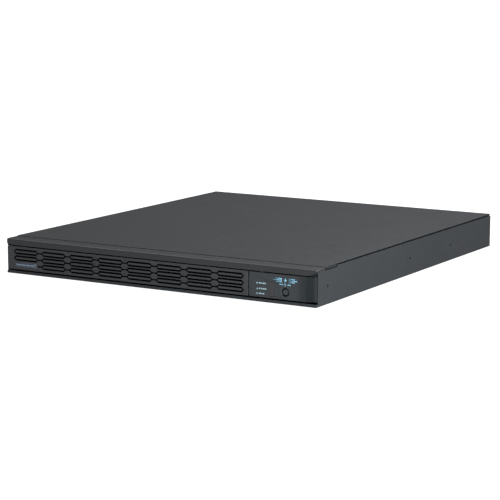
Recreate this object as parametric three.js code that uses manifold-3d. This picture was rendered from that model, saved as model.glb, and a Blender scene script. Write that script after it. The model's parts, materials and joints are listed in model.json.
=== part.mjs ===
// A 1U rackmount uninterruptible power supply. Millimetres, +Z up.
// The front faces -Y, +X is to the right seen from the front, and the origin is
// the centre of the underside.
import * as THREE from 'three';
import { mergeVertices } from 'three/addons/utils/BufferGeometryUtils.js';
import Module from 'manifold-3d';

const wasm = await Module();
wasm.setup();

// ---- driving dimensions -----------------------------------------------------------
const WIDTH = 430;              // body between the rack posts
const DEPTH = 490;
const HEIGHT = 43.5;            // one rack unit less its clearance
const HOOD_TOP = HEIGHT - 0.8;  // the hood sits a little lower than the cover
const SHEET = 1.2;              // steel sheet of chassis, hood and rear panel
const THIN_SHEET = 1;           // steel sheet of cover, inner walls and battery tray
const GAP = 0.3;                // clearance between pieces that meet
const HALF = WIDTH / 2;
const FRONT = -DEPTH / 2;
const REAR = DEPTH / 2;
const INNER = HALF - SHEET;     // inner face of a side wall

const WALL_TOP = 41.1;          // side walls stop here, a shadow gap below the cover
const LIP_TOP = 3.3;            // front lip of the floor
const HOOD_LOW = 35.1;          // lower edge of the hood's front band
const HOOD_DEPTH = 20.2;        // how far the hood reaches back
const SEAM = 0.6;               // between hood and cover
const SWEEP_LEFT = { length: 12, rise: 1.2 };   // the band's lower corners sweep up
const SWEEP_RIGHT = { length: 16, rise: 5.2 };
const SWEEP_SIDE = 17;          // and run back along the sides to nothing
const WALL_START = { left: 4.8, right: 4.6 };   // front edge of each side wall, from the front
const DOUBLER = { from: 197, to: INNER - GAP, front: 0.8, back: 2.4 };  // sheet behind the right sweep

const PANEL_LOW = 5;            // grille and control panel
const PANEL_HIGH = 33.8;
const PANEL_FACE = FRONT + 0.8; // their front face
const PANEL_WALL = 3;           // their thickness
const PANEL_SPLIT = 127;        // x of the gap between them
const SPLIT_GAP = 1.5;

const CELL_COLUMNS = 8;
const CELL_ROWS = 3;
const CELL_PITCH_X = 41.4;
const CELL_PITCH_Z = 8;
const CELL_FIRST_X = -187;
const CELL_FIRST_Z = 27.2;
const CELL_TIP = 18.4;          // half length of a slot ring, to its point
const CELL_FLAT = 15.4;         // half length of its straight sides
const CELL_RISE = 3.35;         // half height
const BAR_HALF = 16.1;          // the bar inside a ring
const BAR_RADIUS = 1.3;
const LINK_HALF = 0.8;          // half height of the slot that links two rings
const STUB = 6;                 // loose end of a link where a ring is missing
const RIB = { half: 0.8, foot: 0.6, front: PANEL_FACE + 3.6, back: PANEL_FACE + 4.6 };  // behind the bars
const FILTER = 1.4;             // foam sheet behind the ribs

const BUTTON = { x: 174.9, z: 13.6, radius: 3.4, hole: 4.95, proud: 0.6, length: 9.6 };
const WINDOW = { x: 157.4, z: 15.3, width: 5.6, height: 16.4 };
const LED_Z = [21.4, 15.3, 9.4];

const BAY_LEFT = -204;          // battery drawer, outside of its side walls
const BAY_RIGHT = 108;
const DRAWER_LOW = 3.7;
const DRAWER_HIGH = 33;
const DRAWER_FRONT = FRONT + 14;
const DRAWER_REAR = 92;
const CELL_RADIUS = 13.4;       // one wrapped battery cell
const CELLS_ACROSS = 5;
const CELLS_APART = 29.6;
const MODULE_LENGTH = 71;
const MODULE_COLUMNS = 2;
const MODULE_ROWS = 4;

const BOARD_Z = 6;              // underside of the main board
const BOARD_THICK = 1.6;
const PANEL_REAR = REAR - 4.6;    // inner face of the rear panel
const FAN = { size: 40, depth: 20, bore: 18.8, blade: 17.9, hub: 8, x: [-185, -141], z: 21.7 };
const OUTLET = { x: [110, 74, 38, 2], z: 21, width: 27, height: 24 };
const INLET = { x: 183, z: 21, width: 31, height: 24, mouth: [25, 17], deep: 18, pins_in: 5.5 };
const BREAKER = { x: 149, z: 21, radius: 6, button: 3.6, travel: 2 };
const PORT = { x: -36, z: 21, width: 31, height: 13 };
const OPTION = { x: -87, z: 21, width: 60, height: 31 };

// ---- materials --------------------------------------------------------------------
const paint = (color, roughness, metalness = 0) =>
  new THREE.MeshStandardMaterial({ color, roughness, metalness });
const MATERIALS = {
  painted_steel: paint(0x4c4f52, 0.55, 0.1),
  bezel_plastic: paint(0x3c4043, 0.6),
  panel_plastic: paint(0x34383b, 0.45),
  smoked_lens: paint(0x1a1416, 0.15),
  zinc_steel: paint(0xb4b6b6, 0.45, 0.9),
  screw_steel: paint(0x8f9295, 0.35, 0.9),
  black_plastic: paint(0x17181a, 0.5),
  board_green: paint(0x1d5a36, 0.5),
  aluminium: paint(0xb9bcc0, 0.4, 0.9),
  ferrite: paint(0x2b2b2e, 0.7),
  copper_coil: paint(0xa4603a, 0.4, 0.6),
  cell_wrap: paint(0x2f5f92, 0.35),
  led_lens: paint(0xd8dcd4, 0.2),
  filter_foam: paint(0x0c0d0e, 0.95),
};

// ---- geometry helpers -------------------------------------------------------------
const box = (x0, x1, y0, y1, z0, z1) =>
  new THREE.BoxGeometry(x1 - x0, y1 - y0, z1 - z0).translate((x0 + x1) / 2, (y0 + y1) / 2, (z0 + z1) / 2);

const AXES = {
  x: [new THREE.Vector3(0, 1, 0), new THREE.Vector3(0, 0, 1), new THREE.Vector3(1, 0, 0)],
  y: [new THREE.Vector3(1, 0, 0), new THREE.Vector3(0, 0, 1), new THREE.Vector3(0, -1, 0)],
  z: [new THREE.Vector3(1, 0, 0), new THREE.Vector3(0, 1, 0), new THREE.Vector3(0, 0, 1)],
};

// A shape drawn in the plane across an axis, extruded from low to high along that axis.
function prism(shape, axis, low, high, curveSegments = 8) {
  const geometry = new THREE.ExtrudeGeometry(shape,
    { depth: high - low, bevelEnabled: false, curveSegments });
  geometry.applyMatrix4(new THREE.Matrix4().makeBasis(...AXES[axis]));
  const shift = { x: [low, 0, 0], y: [0, high, 0], z: [0, 0, low] }[axis];
  return geometry.translate(...shift);
}

const outline = (points) => new THREE.Shape(points.map(([u, v]) => new THREE.Vector2(u, v)));

// Points on an arc, angles in degrees.
function arc(u, v, radius, from, to, steps, radiusV = radius) {
  return Array.from({ length: steps + 1 }, (_, i) => {
    const angle = THREE.MathUtils.degToRad(from + ((to - from) * i) / steps);
    return [u + radius * Math.cos(angle), v + radiusV * Math.sin(angle)];
  });
}

const disc = (u, v, radius, steps = 12) => outline(arc(u, v, radius, 0, 360, steps).slice(0, -1));

function roundedRectangle(u, v, width, height, radius, steps = 3) {
  const [a, b] = [width / 2 - radius, height / 2 - radius];
  return outline([
    ...arc(u + a, v + b, radius, 0, 90, steps), ...arc(u - a, v + b, radius, 90, 180, steps),
    ...arc(u - a, v - b, radius, 180, 270, steps), ...arc(u + a, v - b, radius, 270, 360, steps),
  ]);
}

const rod = (x, z, radius, y0, y1, steps = 12) => prism(disc(x, z, radius, steps), 'y', y0, y1);

function solid(geometry) {
  const bare = geometry.clone();
  bare.deleteAttribute('normal');
  bare.deleteAttribute('uv');
  const merged = mergeVertices(bare, 1e-4);
  return new wasm.Manifold(new wasm.Mesh({
    numProp: 3,
    vertProperties: new Float32Array(merged.attributes.position.array),
    triVerts: new Uint32Array(merged.index.array),
  }));
}

function geometryOf(body) {
  const mesh = body.getMesh();
  const geometry = new THREE.BufferGeometry();
  geometry.setAttribute('position', new THREE.BufferAttribute(mesh.vertProperties, 3));
  geometry.setIndex(new THREE.BufferAttribute(mesh.triVerts, 1));
  geometry.computeVertexNormals();
  return geometry;
}

const joined = (pieces) => pieces.map(solid).reduce((whole, piece) => whole.add(piece));
const join = (...pieces) => geometryOf(joined(pieces));
const cut = (pieces, holes) => geometryOf(joined(pieces).subtract(joined(holes)));

function piece(parent, name, material, geometry, x = 0, y = 0, z = 0) {
  const mesh = new THREE.Mesh(geometry, MATERIALS[material]);
  mesh.name = name;
  mesh.position.set(x, y, z);
  parent.add(mesh);
}

// ---- chassis, cover and hood ------------------------------------------------------
const EAR_HOLES = [[27.2, 20.8], [242, 20], [361, 19.5]];   // distance from the front, height
const NOTCH = { from: 20.5, to: 51, low: 38.9 };            // cover latch notch in each wall

// Height of the band's lower edge.
function bandLow(x) {
  const { length, rise } = x < 0 ? SWEEP_LEFT : SWEEP_RIGHT;
  return HOOD_LOW + rise * (Math.max(0, Math.abs(x) - HALF + length) / length) ** 2;
}

function sideWall(x0, start) {
  const at = (distance, z) => [FRONT + distance, z];
  const corner = bandLow(x0 < 0 ? -INNER : x0) - GAP;
  const cornerTop = corner + (start / SWEEP_SIDE) * (WALL_TOP - corner);
  const shape = outline([
    at(0, 0), at(DEPTH, 0), at(DEPTH, WALL_TOP), at(NOTCH.to, WALL_TOP), at(NOTCH.to, NOTCH.low),
    at(NOTCH.from, NOTCH.low), at(NOTCH.from, WALL_TOP), at(SWEEP_SIDE, WALL_TOP), at(start, cornerTop),
    at(start, LIP_TOP), at(0, LIP_TOP),
  ]);
  shape.holes.push(...EAR_HOLES.map(([distance, z]) => disc(FRONT + distance, z, 1.9, 10)));
  return prism(shape, 'x', x0, x0 + SHEET);
}

const RAIL_X = [-186, -48, 90];
const STANDOFFS = [[130, -190], [200, -190], [130, 60], [200, 60], [200, 205], [-20, 112], [-20, 205]];

function chassisTray() {
  const rails = RAIL_X.map((x) => box(x - 5, x + 5, FRONT + 16, DRAWER_REAR, SHEET / 2, DRAWER_LOW - GAP));
  const standoffs = STANDOFFS.map(([x, y]) =>
    prism(disc(x, y, 3, 8), 'z', SHEET / 2, BOARD_Z - GAP));
  return join(
    box(-HALF, HALF, FRONT, REAR, 0, SHEET),
    sideWall(-HALF, WALL_START.left), sideWall(HALF - SHEET, WALL_START.right),
    box(-HALF, HALF, FRONT, FRONT + SHEET, 0, LIP_TOP),
    box(-HALF + SHEET / 2, BAY_LEFT - 0.8, DRAWER_FRONT + THIN_SHEET + GAP, DRAWER_FRONT + 2.6, 0.5, 33),
    ...rails, ...standoffs,
  );
}

function topCover() {
  const start = FRONT + HOOD_DEPTH + SEAM;
  const middle = HEIGHT - THIN_SHEET / 2;
  const tongue = HOOD_TOP - SHEET - GAP;
  const inset = 3.5;
  const flange = (x) => box(x, x + THIN_SHEET, start + 2, PANEL_REAR - 1, 33, middle);
  const tab = (x) => box(x, x + SHEET, FRONT + NOTCH.from + 1.2, FRONT + NOTCH.to - 3,
    NOTCH.low + 0.9, middle);
  return join(
    box(-HALF, HALF, start, REAR, HEIGHT - THIN_SHEET, HEIGHT),
    flange(-INNER + inset), flange(INNER - inset - THIN_SHEET),
    tab(-HALF), tab(INNER),
    box(-205, 205, FRONT + 9, start + 3, tongue - THIN_SHEET, tongue),
    box(-205, 205, start + 0.2, start + 3, tongue - THIN_SHEET, middle),
    box(-INNER + 0.5, INNER - 0.5, REAR - SHEET, REAR, 37.6, middle),
  );
}

function frontHood() {
  const round = 2;
  const section = outline([
    [FRONT + HOOD_DEPTH, HOOD_TOP], ...arc(FRONT + round, HOOD_TOP - round, round, 90, 180, 4),
    [FRONT, HOOD_LOW], [FRONT + SHEET, HOOD_LOW], [FRONT + SHEET, HOOD_TOP - SHEET],
    [FRONT + HOOD_DEPTH, HOOD_TOP - SHEET],
  ]);
  const corner = (length) => Array.from({ length: 9 }, (_, i) => HALF - length + (length * i) / 8);
  const lower = [...corner(SWEEP_LEFT.length).map((x) => -x).reverse(), ...corner(SWEEP_RIGHT.length)];
  const face = outline([[HALF, HOOD_TOP], [-HALF, HOOD_TOP], ...lower.map((x) => [x, bandLow(x)])]);
  const hood = solid(prism(section, 'x', -HALF, HALF)).intersect(solid(prism(face, 'y', FRONT, 0)));
  const inside = FRONT + SHEET / 2;
  const back = FRONT + SWEEP_SIDE;
  const side = (low) => outline([[inside, low], [back, HOOD_TOP - SHEET], [back, HOOD_TOP - SHEET / 2],
    [inside, HOOD_TOP - SHEET / 2]]);
  const returns = [[-HALF, -INNER], [INNER, HALF]].map(([x0, x1]) =>
    solid(prism(side(bandLow(x0 < 0 ? x0 : x1)), 'x', x0, x1)));
  const doubler = solid(box(DOUBLER.from, DOUBLER.to, FRONT + DOUBLER.front, FRONT + DOUBLER.back,
    HOOD_LOW, HOOD_TOP - SHEET / 2));
  return geometryOf([...returns, doubler].reduce((whole, part) => whole.add(part), hood));
}

// ---- grille and control panel -----------------------------------------------------
// Front outline of an end that wraps back round the corner, from the flat outwards.
const LEFT_END = { bend: 205.6, radius: 9, turn: 4, reach: HALF - 0.1 };
const RIGHT_END = { bend: 195.5, radius: 14, turn: 16, reach: INNER - GAP };

function wrappedEnd(end, inset) {
  const radius = end.radius - inset;
  const centre = PANEL_FACE + end.radius;
  const points = arc(end.bend, centre, radius, 270, 270 + end.turn, 6);
  const turn = THREE.MathUtils.degToRad(end.turn);
  const [x, y] = points[points.length - 1];
  const run = (end.reach - end.bend - end.radius * Math.sin(turn)) / Math.cos(turn);
  return run > 1 ? [...points, [x + run * Math.cos(turn), y + run * Math.sin(turn)]] : points;
}

function panelBlank(end, side, inner) {
  const outer = wrappedEnd(end, 0);
  const back = wrappedEnd(end, PANEL_WALL).reverse();
  const points = [[inner * side, PANEL_FACE], ...outer, ...back, [inner * side, PANEL_FACE + PANEL_WALL]];
  const placed = points.map(([x, y]) => [x * side, y]);
  return prism(outline(side > 0 ? placed : placed.reverse()), 'z', PANEL_LOW, PANEL_HIGH);
}

const cellX = (column) => CELL_FIRST_X + CELL_PITCH_X * column;
const cellZ = (row) => CELL_FIRST_Z - CELL_PITCH_Z * row;
const isLabelCell = (column, row) => column === 0 && row === CELL_ROWS - 1;

// One row of slot rings: hexagons linked by thin slots, with a bar left standing in each.
function slotRow(row) {
  const z = cellZ(row);
  const columns = Array.from({ length: CELL_COLUMNS }, (_, i) => i).filter((c) => !isLabelCell(c, row));
  const tipIn = CELL_TIP - (LINK_HALF * (CELL_TIP - CELL_FLAT)) / CELL_RISE;
  const upper = columns.flatMap((column) => {
    const x = cellX(column);
    return [[x - tipIn, z + LINK_HALF], [x - CELL_FLAT, z + CELL_RISE], [x + CELL_FLAT, z + CELL_RISE],
      [x + tipIn, z + LINK_HALF]];
  });
  const first = cellX(columns[0]);
  const last = cellX(columns[columns.length - 1]);
  const start = isLabelCell(0, row) ? first - CELL_TIP - STUB : first - CELL_TIP;
  const end = [[last + CELL_TIP, z]];
  const lower = upper.map(([x, zz]) => [x, 2 * z - zz]).reverse();
  const shape = outline(start < first - CELL_TIP
    ? [...lower, [start, z - LINK_HALF], [start, z + LINK_HALF], ...upper, ...end]
    : [...lower, [start, z], ...upper, ...end]);
  for (const column of columns) {
    const x = cellX(column);
    const reach = BAR_HALF - BAR_RADIUS;
    shape.holes.push(outline([...arc(x + reach, z, BAR_RADIUS, -90, 90, 3),
      ...arc(x - reach, z, BAR_RADIUS, 90, 270, 3)]));
  }
  return prism(shape, 'y', PANEL_FACE - 1, PANEL_FACE + PANEL_WALL + 1);
}

// A deep rib with feet on the bars and on the webs between the rows.
function ribOf(x) {
  const feet = Array.from({ length: 2 * CELL_ROWS + 1 }, (_, i) =>
    CELL_FIRST_Z + CELL_PITCH_Z * (0.5 - i / 2));
  return [box(x - RIB.half, x + RIB.half, RIB.front, RIB.back, PANEL_LOW + 1.5, PANEL_HIGH - 1.5),
    ...feet.map((z) => box(x - RIB.half, x + RIB.half, PANEL_FACE + PANEL_WALL - 1, RIB.front + 0.2,
      z - RIB.foot, z + RIB.foot))];
}

function grillePanel() {
  const blank = solid(panelBlank(LEFT_END, -1, PANEL_SPLIT - SPLIT_GAP / 2));
  const rows = Array.from({ length: CELL_ROWS }, (_, row) => solid(slotRow(row)));
  const slotted = rows.reduce((panel, row) => panel.subtract(row), blank);
  const ribs = Array.from({ length: CELL_COLUMNS }, (_, i) => cellX(i)).flatMap((x) => ribOf(x));
  return geometryOf(ribs.reduce((panel, rib) => panel.add(solid(rib)), slotted));
}

function controlPanel() {
  const back = PANEL_FACE + PANEL_WALL + 1;
  const bosses = [[138, 29.5], [205, 29.5]].map(([x, z]) =>
    rod(x, z, 2.5, PANEL_FACE + 1.5, PANEL_FACE + 10, 8));
  return cut([panelBlank(RIGHT_END, 1, PANEL_SPLIT + SPLIT_GAP / 2), ...bosses], [
    rod(BUTTON.x, BUTTON.z, BUTTON.hole, FRONT, back, 24),
    prism(roundedRectangle(WINDOW.x, WINDOW.z, WINDOW.width + 2 * GAP, WINDOW.height + 2 * GAP, 1.2), 'y',
      FRONT, back),
  ]);
}

function powerButton() {
  const cap = rod(0, 0, BUTTON.radius, 0, 5, 24);
  const stem = rod(0, 0, 2, 4, BUTTON.length, 8);
  const flange = rod(0, 0, 6.2, 3.6, 5, 16);
  return join(cap, stem, flange);
}

const CONTROL_BOARD_Y = FRONT + 18;

function addFront(parent) {
  piece(parent, 'control_panel', 'panel_plastic', controlPanel());
  piece(parent, 'status_window', 'smoked_lens', prism(
    roundedRectangle(0, 0, WINDOW.width, WINDOW.height, 1), 'y', 0, 2),
  WINDOW.x, PANEL_FACE + 0.1, WINDOW.z);
  piece(parent, 'power_button', 'panel_plastic', powerButton(),
    BUTTON.x, PANEL_FACE + BUTTON.proud, BUTTON.z);
  piece(parent, 'control_board', 'board_green',
    box(0, 74, 0, BOARD_THICK, 0, 24), 134, CONTROL_BOARD_Y, 6);
  piece(parent, 'switch_body', 'black_plastic', join(
    box(-3.5, 3.5, 1.6, 5, -3.5, 3.5), rod(0, 0, 1.6, 0, 2, 8)),
  BUTTON.x, CONTROL_BOARD_Y - 5 - GAP, BUTTON.z);
  LED_Z.forEach((z, i) => piece(parent, `led_${i + 1}`, 'led_lens',
    join(rod(0, 0, 1.5, 0, 11, 10), rod(0, 0, 1.9, 9.5, 11.5, 10)),
    WINDOW.x, CONTROL_BOARD_Y - 11.5 - GAP, z));
  const bracketY = CONTROL_BOARD_Y + BOARD_THICK + GAP;
  piece(parent, 'control_bracket', 'zinc_steel', join(
    box(0, 84, 0, THIN_SHEET, 0, 37), box(0, 84, 0, 12, 0, THIN_SHEET)), 127, bracketY, SHEET + GAP);
}

// ---- battery drawer ---------------------------------------------------------------
function batteryTray() {
  const rearWall = DRAWER_REAR - THIN_SHEET;
  const frontWall = DRAWER_FRONT + THIN_SHEET;
  return cut([
    box(BAY_LEFT, BAY_RIGHT, DRAWER_FRONT, DRAWER_REAR, DRAWER_LOW, DRAWER_HIGH),
    box(BAY_LEFT - 7, BAY_RIGHT + 6.4, DRAWER_FRONT, frontWall, 6, 31),
  ], [
    box(BAY_LEFT + THIN_SHEET, BAY_RIGHT - THIN_SHEET, frontWall, rearWall, DRAWER_LOW + THIN_SHEET, HEIGHT),
    box(CONNECTOR_X - 16, CONNECTOR_X + 16, rearWall - 1, DRAWER_REAR + 1, 10, 26),
  ]);
}

const CONNECTOR_X = 70;

// Cells lying side by side under one wrap: a row of arcs above and below.
function batteryModule() {
  const half = (CELLS_APART * (CELLS_ACROSS - 1)) / 2;
  const top = Array.from({ length: CELLS_ACROSS }, (_, i) => half - i * CELLS_APART).flatMap((x, i) =>
    arc(x, 0, CELL_RADIUS, i === 0 ? 0 : 25, i === CELLS_ACROSS - 1 ? 180 : 155, 4));
  const bottom = top.slice(1, -1).map(([x, z]) => [-x, -z]);
  return prism(outline([...top, ...bottom]), 'y', 0, MODULE_LENGTH);
}

const U_HANDLE = 60;

function addDrawer(parent) {
  piece(parent, 'battery_tray', 'zinc_steel', batteryTray());
  const middle = (BAY_LEFT + BAY_RIGHT) / 2;
  const acrossPitch = (BAY_RIGHT - BAY_LEFT) / MODULE_COLUMNS;
  const shape = batteryModule();
  for (let index = 0; index < MODULE_COLUMNS * MODULE_ROWS; index += 1) {
    const column = index % MODULE_COLUMNS;
    const row = Math.floor(index / MODULE_COLUMNS);
    piece(parent, `battery_module_${index + 1}`, 'cell_wrap', shape.clone(),
      middle + (column - (MODULE_COLUMNS - 1) / 2) * (acrossPitch - 1),
      DRAWER_FRONT + THIN_SHEET + 2 + row * (MODULE_LENGTH + 1),
      DRAWER_LOW + THIN_SHEET + GAP + CELL_RADIUS);
  }
  const rows = DRAWER_FRONT + THIN_SHEET + 2 + MODULE_ROWS * (MODULE_LENGTH + 1);
  piece(parent, 'battery_board', 'board_green',
    box(-70, 70, 0, 22, 0, BOARD_THICK), middle - 60, rows + 2, 14);
  piece(parent, 'drawer_connector', 'black_plastic', join(
    box(-15, 15, 0, 14, -7, 7), box(-11, 11, 13, 22, -5, 5)), CONNECTOR_X, DRAWER_REAR - 14, 18);
  const handle = outline([[-U_HANDLE, 0], [-U_HANDLE, -6], [U_HANDLE, -6], [U_HANDLE, 0],
    [U_HANDLE - 6, 0], [U_HANDLE - 6, -3], [-U_HANDLE + 6, -3], [-U_HANDLE + 6, 0]]);
  piece(parent, 'drawer_handle', 'black_plastic', prism(handle, 'z', 0, 9), middle, DRAWER_FRONT - GAP, 14);
  [['left', BAY_LEFT - 3.4], ['right', BAY_RIGHT + 3.2]].forEach(([side, x]) =>
    piece(parent, `drawer_screw_${side}`, 'screw_steel', screw(2.7, 2.6), x, DRAWER_FRONT - GAP, 19.4));
}

// Pan-head screw seen from the front: a head with a slot, its face towards -Y.
function screw(radius, head) {
  const cross = (halfX, halfZ) => box(-halfX, halfX, -head - 1, -head + 0.7, -halfZ, halfZ);
  return cut([rod(0, 0, radius, -head, 0, 14)], [cross(radius, 0.4), cross(0.4, radius)]);
}

// ---- inside -----------------------------------------------------------------------
function mainBoard() {
  return prism(outline([[119.5, -205], [210, -205], [210, 212], [-40, 212], [-40, 104], [119.5, 104]]), 'z',
    BOARD_Z, BOARD_Z + BOARD_THICK);
}

// Extruded heat sink: a base with upright fins, running along Y.
function heatSink(width, height, length, fins) {
  const pitch = (width - 1.6) / (fins - 1);
  const points = [[0, 0], [width, 0]];
  for (let fin = fins - 1; fin >= 0; fin -= 1) {
    const x = fin * pitch;
    points.push([x + 1.6, height], [x, height]);
    if (fin > 0) points.push([x, 4], [x - pitch + 1.6, 4]);
  }
  return prism(outline(points), 'y', 0, length);
}

function transformerCore() {
  const window = (x0) => box(x0, x0 + 12, -14, 14, 5, 23);
  return cut([box(-28, 28, -13, 13, 0, 28)], [window(-20), window(8)]);
}

function transformerCoil() {
  const ring = outline([[-19, -20], [19, -20], [19, 20], [-19, 20]]);
  ring.holes.push(outline([[-8.4, -13.4], [8.4, -13.4], [8.4, 13.4], [-8.4, 13.4]]));
  return prism(ring, 'z', 5.5, 22.5);
}

function toroid() {
  const profile = arc(11, 0, 5, 0, 360, 8).map(([r, z]) => new THREE.Vector2(r, z));
  profile[profile.length - 1] = profile[0].clone();
  return new THREE.LatheGeometry(profile, 16).rotateX(Math.PI / 2);
}

function capacitor(radius, height) {
  return prism(disc(0, 0, radius, 16), 'z', 0, height);
}

function addInside(parent) {
  const deck = BOARD_Z + BOARD_THICK + GAP;
  piece(parent, 'divider_wall', 'zinc_steel', join(
    box(0, THIN_SHEET, 0, 324, 0, 38), box(-5.6, THIN_SHEET, 0, THIN_SHEET, 3, 31),
    box(0, 5, 0, 324, 0, THIN_SHEET)), 115.4, DRAWER_FRONT + THIN_SHEET + GAP, SHEET + GAP);
  const wall = outline([[-208.8, 0], [118, 0], [118, 39], [-208.8, 39]]);
  wall.holes.push(outline([[CONNECTOR_X - 17, 8], [CONNECTOR_X + 17, 8], [CONNECTOR_X + 17, 26],
    [CONNECTOR_X - 17, 26]]));
  piece(parent, 'bay_rear_wall', 'zinc_steel', prism(wall, 'y', 0, THIN_SHEET), 0, 95.4, SHEET + GAP);
  piece(parent, 'chassis_connector', 'black_plastic', cut(
    [box(-16, 16, 0, 18, -8, 8)], [box(-11.5, 11.5, -1, 8, -5.5, 5.5)]), CONNECTOR_X, 92.4, 18);
  piece(parent, 'main_board', 'board_green', mainBoard());
  piece(parent, 'heat_sink_1', 'aluminium', heatSink(34, 27, 110, 9), 168, -160, deck);
  piece(parent, 'heat_sink_2', 'aluminium', heatSink(34, 27, 90, 9), 168, 20, deck);
  piece(parent, 'transformer_core', 'ferrite', transformerCore(), 165, 155, deck);
  piece(parent, 'transformer_coil', 'copper_coil', transformerCoil(), 165, 155, deck);
  piece(parent, 'choke', 'copper_coil', toroid(), 143, -60, deck + 5);
  [[142, -150], [142, -115], [142, 50]].forEach(([x, y], i) =>
    piece(parent, `capacitor_${i + 1}`, 'black_plastic', capacitor(12.5, 28), x, y, deck));
  [[60, 150], [10, 150]].forEach(([x, y], i) =>
    piece(parent, `relay_${i + 1}`, 'black_plastic', box(-14, 14, -8, 8, 0, 20), x, y, deck));
}

// ---- rear -------------------------------------------------------------------------
function rearPanel() {
  const [low, high] = [SHEET + GAP, 41];
  const through = (shape) => prism(shape, 'y', PANEL_REAR - 1, REAR);
  const fanSlots = FAN.x.flatMap((fanX) => [-3, -2, -1, 0, 1, 2, 3].map((step) => {
    const z = FAN.z + step * 4.8;
    const reach = Math.sqrt((FAN.bore - 1) ** 2 - (step * 4.8) ** 2);
    return through(roundedRectangle(fanX, z, 2 * reach, 3, 1.2, 1));
  }));
  const sockets = OUTLET.x.map((x) =>
    through(roundedRectangle(x, OUTLET.z, OUTLET.width - 3, OUTLET.height - 3, 1)));
  return cut([box(-INNER + 0.5, INNER - 0.5, PANEL_REAR, PANEL_REAR + SHEET, low, high)], [
    ...fanSlots, ...sockets,
    through(roundedRectangle(INLET.x, INLET.z, INLET.width - 3, INLET.height - 3, 1)),
    through(disc(BREAKER.x, BREAKER.z, BREAKER.radius + GAP, 16)),
    through(roundedRectangle(PORT.x, PORT.z, PORT.width - 10, PORT.height - 2, 2)),
    through(roundedRectangle(OPTION.x, OPTION.z, OPTION.width - 14, OPTION.height - 5, 1)),
  ]);
}

function fanFrame() {
  const half = FAN.size / 2;
  const shape = roundedRectangle(0, 0, FAN.size, FAN.size, 3);
  shape.holes.push(disc(0, 0, FAN.bore, 20));
  for (const [u, v] of [[1, 1], [1, -1], [-1, 1], [-1, -1]]) {
    shape.holes.push(disc(u * (half - 4), v * (half - 4), 1.7, 8));
  }
  const strut = (angle) => box(-1, 1, 0, 2, 4, FAN.bore + 0.6).applyMatrix4(
    new THREE.Matrix4().makeRotationY(THREE.MathUtils.degToRad(angle)));
  return join(prism(shape, 'y', 0, FAN.depth), rod(0, 0, FAN.hub + 1.5, 0, 2, 16),
    ...[45, 135, 225, 315].map(strut));
}

function fanRotor() {
  const blades = Array.from({ length: 7 }, (_, i) => {
    const blade = new THREE.BoxGeometry(11, 1.1, FAN.blade - FAN.hub + 1.5);
    blade.rotateZ(THREE.MathUtils.degToRad(48)).translate(0, 0, (FAN.blade + FAN.hub - 1.5) / 2);
    return blade.rotateY((i * 2 * Math.PI) / 7);
  });
  const sweep = solid(rod(0, 0, FAN.blade, -7, 7, 24));
  return geometryOf(joined(blades).intersect(sweep).add(solid(rod(0, 0, FAN.hub, -6.5, 7, 18))));
}

// Grounded mains outlet: two blade slots and a round ground hole, its face towards +Y.
function outlet() {
  const [w, h] = [OUTLET.width, OUTLET.height];
  return cut([box(-w / 2, w / 2, -20, -GAP, -h / 2, h / 2),
    box(-w / 2 + 2, w / 2 - 2, -5, 2.4, -h / 2 + 2, h / 2 - 2)], [
    box(-7.2, -5.4, -12, 4, -1, 6.2), box(5.4, 7.2, -12, 4, -1.8, 7), rod(0, -5, 2.4, -12, 4, 12)]);
}

function mainsInlet() {
  const [w, h] = [INLET.width, INLET.height];
  const [mw, mh] = INLET.mouth;
  const mouth = outline([[-mw / 2, -mh / 2], [mw / 2, -mh / 2], [mw / 2, mh / 2 - 4], [mw / 2 - 4, mh / 2],
    [-mw / 2 + 4, mh / 2], [-mw / 2, mh / 2 - 4]]);
  const shell = cut([box(-w / 2, w / 2, -24, -GAP, -h / 2, h / 2),
    box(-w / 2 + 2, w / 2 - 2, -5, 2.4, -h / 2 + 2, h / 2 - 2)], [prism(mouth, 'y', 2.4 - INLET.deep, 4)]);
  const pins = [[-7, -1.5], [7, -1.5], [0, 2.5]].map(([x, z]) =>
    box(x - 1, x + 1, 1.4 - INLET.deep, 2.4 - INLET.pins_in, z - 2, z + 2));
  return join(shell, ...pins);
}

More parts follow.
